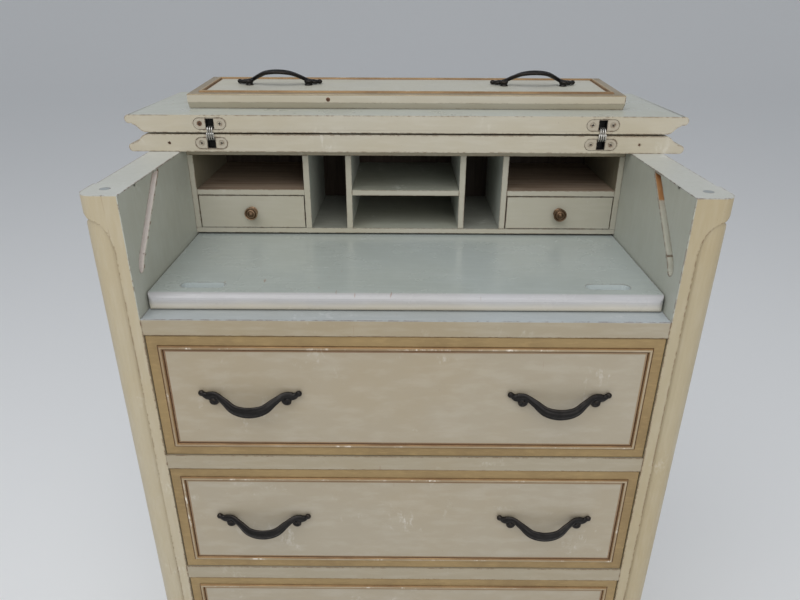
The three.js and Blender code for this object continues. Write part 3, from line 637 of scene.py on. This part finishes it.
def dress_pigeonholes():
    small_front = 9.5 * MM
    boards = ["pigeonhole_top", "pigeonhole_floor", "shelf_middle"]
    for word, _ in SIDES:
        boards += [f"pigeonhole_end_{word}", f"drawer_divider_{word}", f"slot_divider_{word}"]
        dress(f"shelf_{word}", (nest_front, nest_inside, shelf_wood), 0.6 * MM, choose=board_face)
        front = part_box(f"small_drawer_{word}")[0].y + small_front
        dress(f"small_drawer_{word}", (nest_front, box_wood, box_side), 0.8 * MM,
            choose=lambda face: 0 if face.center.y < front else 1 + box_face(face))
    for node in boards:
        front = cream_dull if node == "pigeonhole_top" else nest_front
        dress(node, (front, nest_inside, nest_floor_shaded), 0.6 * MM, choose=board_face)
    dress("desk_panel", (green_gloss,), 1.0 * MM, angle=44)
    for number in DRAWERS:
        dress(f"drawer_{number}_box", (box_wood, box_side), 0.8 * MM, choose=box_face)


# ---------------------------------------------------------------- drawer fronts

# Inward from the edge of the front, and up from its flat: border, quirk, bead, quirk, centre
BORDER_EDGE = 12.4
BEAD_CENTRE = 15.3
BEAD_RADIUS = 2.3
BEAD_RISE = 2.5 * MM
CENTRE, BORDER, BEAD, QUIRK, BACK, GLAZED, TOP = range(7)  # the materials of a front


def front_profile():
    """(inset, rise, material of the band that ends there), in millimetres, inward from the front's edge."""
    corner = 1.4
    rows = [(0, -1.6, BACK)]
    rows += [(corner - corner * math.cos(a), corner * math.sin(a) - corner, BORDER)
             for a in (0.4, 0.8, 1.2, math.pi / 2)]
    rows += [(BORDER_EDGE - 0.3, 0, BORDER), (BORDER_EDGE, -0.25, QUIRK), (BORDER_EDGE + 0.3, -0.6, QUIRK)]
    steps = 9
    for i in range(steps + 1):
        a = math.pi * i / steps
        # the crest rows of the bead take the paler paint: rubbed wear, and a painted highlight along it
        crest = 4 <= i <= 6
        inset, rise = BEAD_CENTRE - BEAD_RADIUS * math.cos(a), BEAD_RADIUS * math.sin(a)
        rows.append((inset, rise, TOP if crest else BEAD))
    inner = ((2.7, -0.6, QUIRK), (3.3, -0.2, QUIRK), (3.9, 0, GLAZED), (5.2, 0, GLAZED), (5.3, 0, CENTRE))
    return rows + [(BEAD_CENTRE + past, rise, pick) for past, rise, pick in inner]


def moulded_front(name, half, low, high, face, back, centre, border):
    """A drawer front facing -Y: nested rings from its back edge round to its centre."""
    loops, picks = [], []
    for inset, rise, pick in [(0, None, BACK), *front_profile()]:
        out = back if rise is None else face - rise * MM
        side, bottom, top = half - inset * MM, low + inset * MM, high - inset * MM
        loops.append([(x, out, z) for x, z in ((-side, bottom), (side, bottom), (side, top), (-side, top))])
        picks.append(pick)
    piece = loops_mesh(name, loops, (centre, border, gold_bead, quirk, leaf_edge, glaze, bead_crest_highlight),
        picks=[BACK, *picks[2:]], angle=50)
    piece.data.polygons[-1].material_index = CENTRE
    piece.data.polygons[-2].material_index = BACK
    return piece


def make_drawer_fronts():
    for number in DRAWERS:
        node = f"drawer_{number}_front"
        low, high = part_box(node)
        piece = moulded_front(f"{node}_moulded", high.x, low.z, high.z, low.y + BEAD_RISE, high.y,
            cream_panel, gold_flat)
        stand_in(piece, node, f"drawer_{number}")


def false_front_turn():
    """Takes the false front from hanging, with its hinge at the origin, to its rest on the folded lid."""
    joint = next(j for j in frame["record"]["behaviour"]["joints"] if j["name"] == "false_front_fold")
    turn = math.radians(-180 - joint["range_deg"][0])
    return Matrix.Translation(joint["pos_m"]) @ Matrix.Rotation(turn, 4, "X")


def hanging_box(node):
    """A false front node's box with the false front hanging from the origin."""
    undo = false_front_turn().inverted()
    points = [undo @ v.co for v in frame["nodes"][node].data.vertices]
    return tuple(Vector(pick(p[i] for p in points) for i in range(3)) for pick in (min, max))


def chamfer_cutter(low, high):
    """A wedge for the lower back edge of the false front."""
    depth, height, beyond = 9 * MM, 6 * MM, 10 * MM
    over = height / depth * beyond
    outline = [(high.y - depth - beyond, low.z - over), (high.y + beyond, low.z - beyond),
               (high.y + beyond, low.z + height + over)]
    return prism("chamfer", outline, "x", low.x - beyond, high.x + beyond)


def make_false_front():
    low, high = hanging_box("false_drawer_front")
    piece = moulded_front("false_front_moulded", high.x, low.z, high.z, low.y + BEAD_RISE, high.y, flip_face,
        gold_dull)
    carve(piece, [chamfer_cutter(low, high)])
    for face in piece.data.polygons:
        if face.normal.y > 0.1 and face.normal.z < -0.1:
            face.material_index = BACK
    piece.data.transform(false_front_turn())
    stand_in(piece, "false_drawer_front", "false_front")


def make_guide_pins():
    """A short pin in each end of the false front, near its lower edge."""
    low, high = hanging_box("false_drawer_front")
    up = 12 * MM
    profile = [(0.0001, 0), (2.3 * MM, 0), (2.3 * MM, 1.6 * MM), (1.8 * MM, 2.0 * MM), (0.0001, 2.0 * MM)]
    for word, side in SIDES:
        pin = lathe(f"guide_pin_{word}", profile, (0, 0, 0), (steel,))
        place = Matrix.Translation((side * high.x, (low.y + high.y) / 2, low.z + up))
        pin.data.transform(false_front_turn() @ place @ Matrix.Rotation(math.radians(90 * side), 4, "Z"))
        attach(pin, "false_front")


# ---------------------------------------------------------------- leaves of the top

# Old nails in the rear leaf's edge: across, and the radius of the hole
LEAF_NAILS = ((-313 * MM, 2.1 * MM), (308 * MM, 1.6 * MM))


def nail_hole(place, radius):
    depth = 4 * MM
    profile = [(0.0001, depth), (radius, depth), (radius * 0.9, -depth), (0.0001, -depth)]
    return lathe("hole", profile, place, (), steps=24)


def edge_rows():
    """The moulded edge of a leaf, (inward, from the wide face) in millimetres: nose, step and ogee."""
    nose = 5.5
    thickness = 22.5
    rows = [(nose + 5, 0)]
    rows += [(nose + nose * math.cos(a), nose + nose * math.sin(a))
             for a in (math.radians(d) for d in range(-90, -271, -12))]
    rows += [(nose + 0.4, 11.0), (8.6, 11.1), (9.0, 11.5), (9.1, 12.2)]
    start, pull, push, end = (9.1, 12.4), (15.5, 12.9), (17.5, 21.2), (23.4, 22.0)
    for i in range(15):
        t = i / 14
        s = 1 - t
        shares = (s ** 3, 3 * s * s * t, 3 * s * t * t, t ** 3)
        rows.append(tuple(sum(w * p[k] for w, p in zip(shares, (start, pull, push, end))) for k in (0, 1)))
    return rows + [(24.0, thickness)]


def mortises(prefix):
    """Cutters for the seats of the two hinge cups in a leaf."""
    room = 0.5 * MM
    cutters = []
    for word, _ in SIDES:
        low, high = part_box(prefix + word)
        radius, z = (high.z - low.z) / 2, (high.z + low.z) / 2
        outline = capsule((low.x + radius, z), (high.x - radius, z), radius + room, 16)
        cutters.append(prism("mortise", outline, "y", low.y - 2 * MM, high.y + room))
    return cutters


def make_leaf(node, body, wide_up, moulded_back):
    """A leaf of the top: nested rings from its wide face to its narrow one."""
    low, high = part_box(node)
    loops = []
    for inward, rise in edge_rows():
        u = inward * MM
        z = high.z - rise * MM if wide_up else low.z + rise * MM
        left, right, far = low.x + u, high.x - u, high.y - u if moulded_back else high.y
        loops.append([(left, low.y, z), (right, low.y, z), (right, far, z), (left, far, z)])
    leaf = loops_mesh(f"{node}_moulded", loops, (leaf_edge, leaf_face), angle=38)
    for face in leaf.data.polygons:
        face.material_index = 1 if wide_up and face.normal.z > 0.99 else 0
    cutters = mortises("front_hinge_cup_" if wide_up else "rear_hinge_cup_")
    if not wide_up:
        cutters += [nail_hole((x, low.y, (low.z + high.z) / 2), radius) for x, radius in LEAF_NAILS]
    carve(leaf, cutters)
    round_edges(leaf, 0.7 * MM, 50)
    stand_in(leaf, node, body)


# ---------------------------------------------------------------- hinges

# A hinge cup: its screws from the middle, and its slot's half width, depth and distance from the rim
SCREW_ASIDE = 13.2 * MM
SLOT_HALF = 5.6 * MM
SLOT_DEPTH = 10.5 * MM
SLOT_RIM = 0.5 * MM


def make_hinges():
    for word, _ in SIDES:
        make_cup("rear", word, "case")
        make_cup("front", word, "lid")
        make_links(word)


def make_cup(part, word, body):
    """One half of a seam hinge: a round-ended plate with a slot and two screws."""
    node = f"{part}_hinge_cup_{word}"
    low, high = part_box(node)
    radius = (high.z - low.z) / 2
    x, z = (low.x + high.x) / 2, (low.z + high.z) / 2
    face = low.y
    tall = radius - SLOT_RIM
    outline = capsule((low.x + radius, z), (high.x - radius, z), radius, 20)
    cup = prism(f"{node}_plate", outline, "y", face, high.y, (painted_steel,))
    cutters = [prism("slot", slot_outline(x, z, SLOT_HALF, tall), "y", face - 2 * MM, face + SLOT_DEPTH)]
    sink = [(0.0001, 4 * MM), (3.7 * MM, 4 * MM), (3.7 * MM, 0), (1.6 * MM, -2.2 * MM), (0.0001, -2.2 * MM)]
    cutters += [lathe("sink", sink, (x + end * SCREW_ASIDE, face, z), (), steps=28) for end in (-1, 1)]
    carve(cup, cutters)
    round_edges(cup, 0.45 * MM, 40)
    stand_in(cup, node, body)
    line_slot(f"{node}_slot", x, z, face, tall, body)
    for end, letter in ((-1, "a"), (1, "b")):
        old = (word, part, letter) == ("left", "front", "a")
        make_screw(f"{node}_screw_{letter}", (x + end * SCREW_ASIDE, face + 0.5 * MM, z), 3.1 * MM, body,
            random.uniform(0, 90), rust if old else painted_steel)


def slot_outline(x, z, half, tall):
    return [(x - half, z - tall), (x + half, z - tall), (x + half, z + tall), (x - half, z + tall)]


def line_slot(name, x, z, face, tall, body):
    """The near-black lining of a cup's slot: painted shade for the slot's depth."""
    gap, wall = 0.1 * MM, 0.4 * MM
    half, tall, back = SLOT_HALF - gap, tall - gap, face + SLOT_DEPTH - gap
    lining = prism(name, slot_outline(x, z, half, tall), "y", face + 0.8 * MM, back, (slot_shade_black,))
    room = prism("room", slot_outline(x, z, half - wall, tall - wall), "y", face - 1 * MM, back - wall)
    carve(lining, [room])
    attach(lining, body)


def make_screw(name, place, radius, body, turn, material):
    """A countersunk cross-head screw, its face towards -Y, over a near-black disc that paints the shadow in
    the gap round it.
    """
    profile = [(0.0001, -2 * MM), (radius * 0.5, -1.6 * MM), (radius, -0.15 * MM), (radius, 0.05 * MM),
               (radius * 0.6, 0.25 * MM), (0.0001, 0.3 * MM)]
    screw = lathe(name, profile, (0, 0, 0), (material,), steps=24)
    long, short = radius * 0.62, radius * 0.2
    cross = [prism("cross", slot_outline(0, 0, wide, tall), "y", -1.5 * MM, 0.9 * MM)
             for wide, tall in ((long, short), (short, long))]
    carve(screw, cross)
    wide, low, high = radius * 1.19, -1.6 * MM, -0.3 * MM
    disc = [(0.0001, low), (wide, low), (wide, high), (0.0001, high)]
    shadow = lathe(f"{name}_shade", disc, place, (slot_shade_black,), steps=28)
    screw.data.transform(Matrix.Translation(place) @ Matrix.Rotation(math.radians(turn), 4, "Y"))
    for piece in (shadow, screw):
        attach(piece, body)


def link_outline(rise):
    """Outline of one link in (y, z) from its pivot: out through the slot, then up to the knuckle."""
    reach, half, climb, bend = 9.2, 1.6, 7.5, 3.4
    heel = reach - bend

    def elbow(radius, degrees):
        turns = [math.radians(d) for d in degrees]
        return [(-heel - radius * math.sin(t), bend - radius * math.cos(t)) for t in turns]

    outline = [*arc((0, 0), half, 90, -90, 8), *elbow(bend + half, range(0, 91, 9)),
               *arc((-reach, climb), half, 180, 0, 8), *elbow(bend - half, range(90, -1, -15))]
    return [(y * MM, rise * z * MM) for y, z in outline]


def make_links(word):
    """Thin plates side by side, four from the rear cup and three from the lid's, that meet in front."""
    half_plate = 0.62 * MM
    half_knuckle = 1.6 * MM
    for part, rise, offsets, body in (("rear", 1, (-4.2, -1.4, 1.4, 4.2), "rear_links"),
                                      ("front", -1, (-2.8, 0, 2.8), "front_links")):
        node = f"{part}_hinge_link_{word}"
        low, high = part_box(node)
        x = (low.x + high.x) / 2
        pivot_y = high.y - half_knuckle
        pivot_z = low.z + half_knuckle if rise > 0 else high.z - half_knuckle
        outline = [(pivot_y + a, pivot_z + b) for a, b in link_outline(rise)]
        spots = [x + offset * MM for offset in offsets]
        plates = [prism("plate", outline, "x", spot - half_plate, spot + half_plate, (steel,))
                  for spot in spots]
        rod = prism("rod", arc((pivot_y, pivot_z), 1.2 * MM, 0, 345, 23), "x",
            spots[0] - half_plate, spots[-1] + half_plate, (steel,))
        link = carve(plates[0], [*plates[1:], rod], "UNION")
        link.name = f"{node}_plates"
        round_edges(link, 0.15 * MM, 40)
        stand_in(link, node, body)


# ---------------------------------------------------------------- pulls and knobs

# Half of the bail's line: (x, out from the face, up), millimetres, from a ball end to the middle
BAIL = ((58, 3.6, 9.5), (51, 3.9, 6), (41, 5.6, 8), (30, 11.5, 3), (17, 17.5, -5), (0, 19.5, -7.7))
BALL = 3.9
BOSS_X = 42.5


def spline(points, steps):
    """A smooth line through points."""
    points = [Vector(p) for p in points]
    padded = [2 * points[0] - points[1], *points, 2 * points[-1] - points[-2]]
    line = []
    for i in range(1, len(padded) - 2):
        a, b, c, d = padded[i - 1:i + 3]
        for k in range(steps):
            t = k / steps
            line.append(0.5 * (2 * b + (c - a) * t + (2 * a - 5 * b + 4 * c - d) * t * t
                               + (3 * b - a - 3 * c + d) * t ** 3))
    return [*line, points[-1]]


def sweep(name, line, outward, section, sides=28):
    """A bar along a line. section gives (half width, half depth, groove) at each share of its length."""
    groove_turn, groove_width = 0.62, 0.2  # the two long grooves, in radians from the front
    loops = []
    for i, point in enumerate(line):
        ahead = line[min(i + 1, len(line) - 1)] - line[max(i - 1, 0)]
        ahead.normalize()
        out = (outward - ahead * outward.dot(ahead)).normalized()
        across = ahead.cross(out)
        wide, deep, groove = section(i / (len(line) - 1))
        loop = []
        for k in range(sides):
            a = 2 * math.pi * k / sides
            away = [math.remainder(a - side * groove_turn, 2 * math.pi) for side in (-1, 1)]
            size = 1 - groove * sum(math.exp(-(turn / groove_width) ** 2) for turn in away)
            loop.append(point + out * (deep * size * math.cos(a)) + across * (wide * size * math.sin(a)))
        loops.append(loop)
    return loops_mesh(name, loops, ())


def pull_ball(side):
    x, out, up = BAIL[0]
    turns = [math.pi * i / 14 for i in range(15)]
    profile = [(max(0.05, BALL * math.sin(a)) * MM, -0.8 * BALL * math.cos(a) * MM) for a in turns]
    return lathe("ball", profile, (side * x * MM, -out * MM, up * MM), (), steps=24)


def pull_foot(side):
    profile = [(0.05, 0), (5.6, 0), (5.4, 1), (4.6, 2), (4.6, 5.0), (3.4, 6.4), (0.05, 6.9)]
    return lathe("foot", [(r * MM, h * MM) for r, h in profile], (side * BOSS_X * MM, 0, 0), (), steps=32)


def pull_scroll(side):
    """A flat spiral on the boss, just under the bail's shoulder."""
    centre_x, centre_z = BOSS_X + 1.5, 0.4
    wide, tight = 6.3, 1.5
    steps = 30
    curl = []
    for i in range(steps + 1):
        share = i / steps
        a = math.radians(80 + 430 * share)
        radius = wide + (tight - wide) * share
        x, z = centre_x + radius * math.cos(a), centre_z + radius * math.sin(a)
        curl.append(Vector((side * x, -(4.6 + 2 * share), z)) * MM)
    return sweep("scroll", curl, Vector((0, -1, 0)),
        lambda share: ((2.3 - 0.6 * share) * MM, (2.2 - 0.5 * share) * MM, 0), sides=14)


def pull_mesh():
    """One cast pull at the origin, reaching to -Y from the plane y = 0: bail, scrolled bosses, ball ends."""
    half = [Vector((x, -out, up)) * MM for x, out, up in BAIL]
    line = spline([*half, *[Vector((-p.x, p.y, p.z)) for p in half[-2::-1]]], 10)

    def section(share):
        x = abs(1 - 2 * share)  # 0 in the middle, 1 at the ball ends
        swell = math.exp(-(x / 0.45) ** 2)
        shoulder = math.exp(-((x - 0.76) / 0.13) ** 2)
        wide = 2.9 + 4.5 * swell + 2.4 * shoulder
        deep = 2.5 + 0.7 * swell + 0.6 * shoulder
        return wide * MM, deep * MM, 0.2 * min(1, swell * 1.6)

    parts = [sweep("bail", line, Vector((0, -1, 0)), section)]
    for side in (-1, 1):
        parts += [pull_ball(side), pull_foot(side), pull_scroll(side)]
    bpy.ops.object.select_all(action="DESELECT")
    for part in parts:
        part.select_set(True)
    bpy.context.view_layer.objects.active = parts[0]
    bpy.ops.object.join()
    whole = parts[0]
    remesh = whole.modifiers.new("remesh", "REMESH")
    remesh.mode = "VOXEL"
    remesh.voxel_size = 0.5 * MM
    ease = whole.modifiers.new("ease", "SMOOTH")
    ease.factor = 0.5
    ease.iterations = 4
    bpy.context.view_layer.update()
    baked(whole, angle=180)
    mesh = whole.data
    mesh.materials.clear()
    mesh.materials.append(bronze)
    bpy.data.objects.remove(whole)
    return mesh


def make_pulls():
    mesh = pull_mesh()
    still = Matrix.Identity(4)
    rows = [(f"drawer_{n}", f"drawer_{n}_pull_", still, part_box(f"drawer_{n}_front")) for n in DRAWERS]
    rows.append(("false_front", "false_front_pull_", false_front_turn(), hanging_box("false_drawer_front")))
    for body, prefix, turn, (low, high) in rows:
        for word, _ in SIDES:
            pull_low, pull_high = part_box(prefix + word)
            seat = Vector(((pull_low.x + pull_high.x) / 2, low.y + BEAD_RISE, (low.z + high.z) / 2))
            pull = bpy.data.objects.new(f"{prefix}{word}_cast", mesh.copy())
            bpy.context.scene.collection.objects.link(pull)
            pull.data.transform(turn @ Matrix.Translation(seat))
            stand_in(pull, prefix + word, body)


def make_knobs():
    profile = [(0.0001, 0), (7.4, 0), (7.6, 0.6), (7.0, 1.4), (5.0, 2.0), (4.2, 3.2), (4.4, 5.4), (6.2, 7.6),
               (8.4, 9.2), (9.1, 10.6), (9.0, 11.8), (8.2, 12.7), (7.4, 12.5), (6.9, 12.0), (6.3, 12.6),
               (5.2, 13.6), (4.4, 13.7), (3.9, 13.3), (3.4, 13.7), (2.2, 14.6), (0.9, 15.1), (0.0001, 15.2)]
    for word, _ in SIDES:
        node = f"small_knob_{word}"
        low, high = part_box(node)
        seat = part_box(f"small_drawer_{word}")[0].y
        knob = lathe(f"{node}_ringed", [(max(r, 0.02) * MM, h * MM) for r, h in profile],
            ((low.x + high.x) / 2, seat, (low.z + high.z) / 2), (brass,), steps=56, angle=60)
        stand_in(knob, node, f"small_drawer_{word}")


# ---------------------------------------------------------------- small trim

def make_plugs():
    """Wooden plugs let into the tops of the corner posts."""
    outward, back = 23 * MM, 26 * MM  # from a post's inner face and its front
    profile = [(0.1, -1), (6, -1), (6, -0.1), (5.7, 0.12), (0.1, 0.2)]
    for word, side in SIDES:
        points = [(r * MM, h * MM) for r, h in profile]
        plug = lathe(f"post_plug_{word}", points, (0, 0, 0), (plug_wood,), steps=40)
        place = (side * (INNER_X + outward), FRONT_Y + back, CASE_TOP)
        plug.data.transform(Matrix.Translation(place) @ Matrix.Rotation(math.radians(-90), 4, "X"))
        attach(plug, "case")


def nail_head(name, radius, turn, body):
    """A rusted head, sunk below the surface at the origin before turn is applied; it faces -Y."""
    profile = [(0.0001, -3.6 * MM), (radius * 0.94, -3.6 * MM), (radius * 0.94, -1.5 * MM),
               (radius * 0.6, -1.1 * MM), (0.0001, -0.9 * MM)]
    head = lathe(name, profile, (0, 0, 0), (rust,), steps=24)
    head.data.transform(turn)
    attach(head, body)


def make_nails():
    """Old nail heads near each end of the rear leaf's edge, and one in the false front's lower edge."""
    low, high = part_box("rear_leaf")
    for (word, _), (x, radius) in zip(SIDES, LEAF_NAILS):
        place = Matrix.Translation((x, low.y, (low.z + high.z) / 2))
        nail_head(f"rear_leaf_nail_{word}", radius, place, "case")
    low, high = hanging_box("false_drawer_front")
    left, proud = 106 * MM, 1.6 * MM
    place = Matrix.Translation((-left, (low.y + high.y) / 2 - 2 * MM, low.z - proud))
    turn = false_front_turn() @ place @ Matrix.Rotation(math.radians(90), 4, "X")
    nail_head("false_front_nail", 3.0 * MM, turn, "false_front")


dress_case()
bridge_joints()
dress_pigeonholes()
make_drawer_fronts()
make_false_front()
make_guide_pins()
make_leaf("rear_leaf", "case", wide_up=False, moulded_back=False)
make_leaf("front_leaf", "lid", wide_up=True, moulded_back=True)
make_hinges()
make_pulls()
make_knobs()
make_plugs()
make_nails()
for strip in ("front_hinge_strip_lid", "front_hinge_strip_panel"):
    dress(strip, (steel,), 0.15 * MM)


# ---------------------------------------------------------------- stage, light and camera

def make_stage():
    """A pale floor that curves up into a pale wall far behind."""
    reach, bend, wall = 45, 8, 16
    section = [(-reach, 0), (wall - bend, 0)]
    turns = [math.pi * i / 32 for i in range(1, 17)]
    section += [(wall - bend + bend * math.sin(a), bend - bend * math.cos(a)) for a in turns]
    section.append((wall, 30))
    mesh = bpy.data.meshes.new("floor")
    vertices = [(side * reach, y, z) for y, z in section for side in (-1, 1)]
    faces = [(2 * i, 2 * i + 1, 2 * i + 3, 2 * i + 2) for i in range(len(section) - 1)]
    mesh.from_pydata(vertices, [], faces)
    mesh.shade_smooth()
    floor = bpy.data.objects.new("floor", mesh)
    bpy.context.scene.collection.objects.link(floor)
    mesh.materials.append(Nodes("floor_paper").finish((0.86, 0.87, 0.88), 0.85))


def area_light(name, place, target, size, power, colour=(1, 1, 1)):
    light = bpy.data.lights.new(name, "AREA")
    light.shape = "RECTANGLE"
    light.size, light.size_y = size
    light.energy = power
    light.color = colour
    lamp = bpy.data.objects.new(name, light)
    lamp.location = place
    lamp.rotation_euler = (Vector(target) - Vector(place)).to_track_quat("-Z", "Y").to_euler()
    bpy.context.scene.collection.objects.link(lamp)


def make_light():
    world = bpy.data.worlds.new("soft_room")
    bpy.context.scene.world = world
    world.use_nodes = True
    background = world.node_tree.nodes["Background"]
    background.inputs["Color"].default_value = (0.93, 0.96, 1.0, 1)
    background.inputs["Strength"].default_value = 0.45
    area_light("overhead", (-0.6, -1.6, 3.4), (0, 0, 0.8), (3.2, 2.6), 62)
    area_light("front_fill", (1.2, -3.2, 1.9), (0, 0, 0.6), (2.4, 2.0), 24, (1, 0.98, 0.95))


def make_camera():
    level = Vector((-math.sin(YAW), math.cos(YAW), 0))
    right = Vector((math.cos(YAW), math.sin(YAW), 0))
    forward = level * math.cos(PITCH) - Vector((0, 0, math.sin(PITCH)))
    upward = level * math.sin(PITCH) + Vector((0, 0, math.cos(PITCH)))
    x_axis = right * math.cos(ROLL) + upward * math.sin(ROLL)
    y_axis = -right * math.sin(ROLL) + upward * math.cos(ROLL)
    turn = Matrix((x_axis, y_axis, -forward)).transposed().to_4x4()
    data = bpy.data.cameras.new("camera")
    data.sensor_width = SENSOR
    data.lens = SENSOR * FOCAL_SHARE
    data.clip_start = 0.01
    camera = bpy.data.objects.new("camera", data)
    camera.matrix_world = Matrix.Translation(EYE) @ turn
    bpy.context.scene.collection.objects.link(camera)
    bpy.context.scene.camera = camera


make_stage()
make_light()
make_camera()
bpy.context.scene.view_settings.view_transform = "Standard"
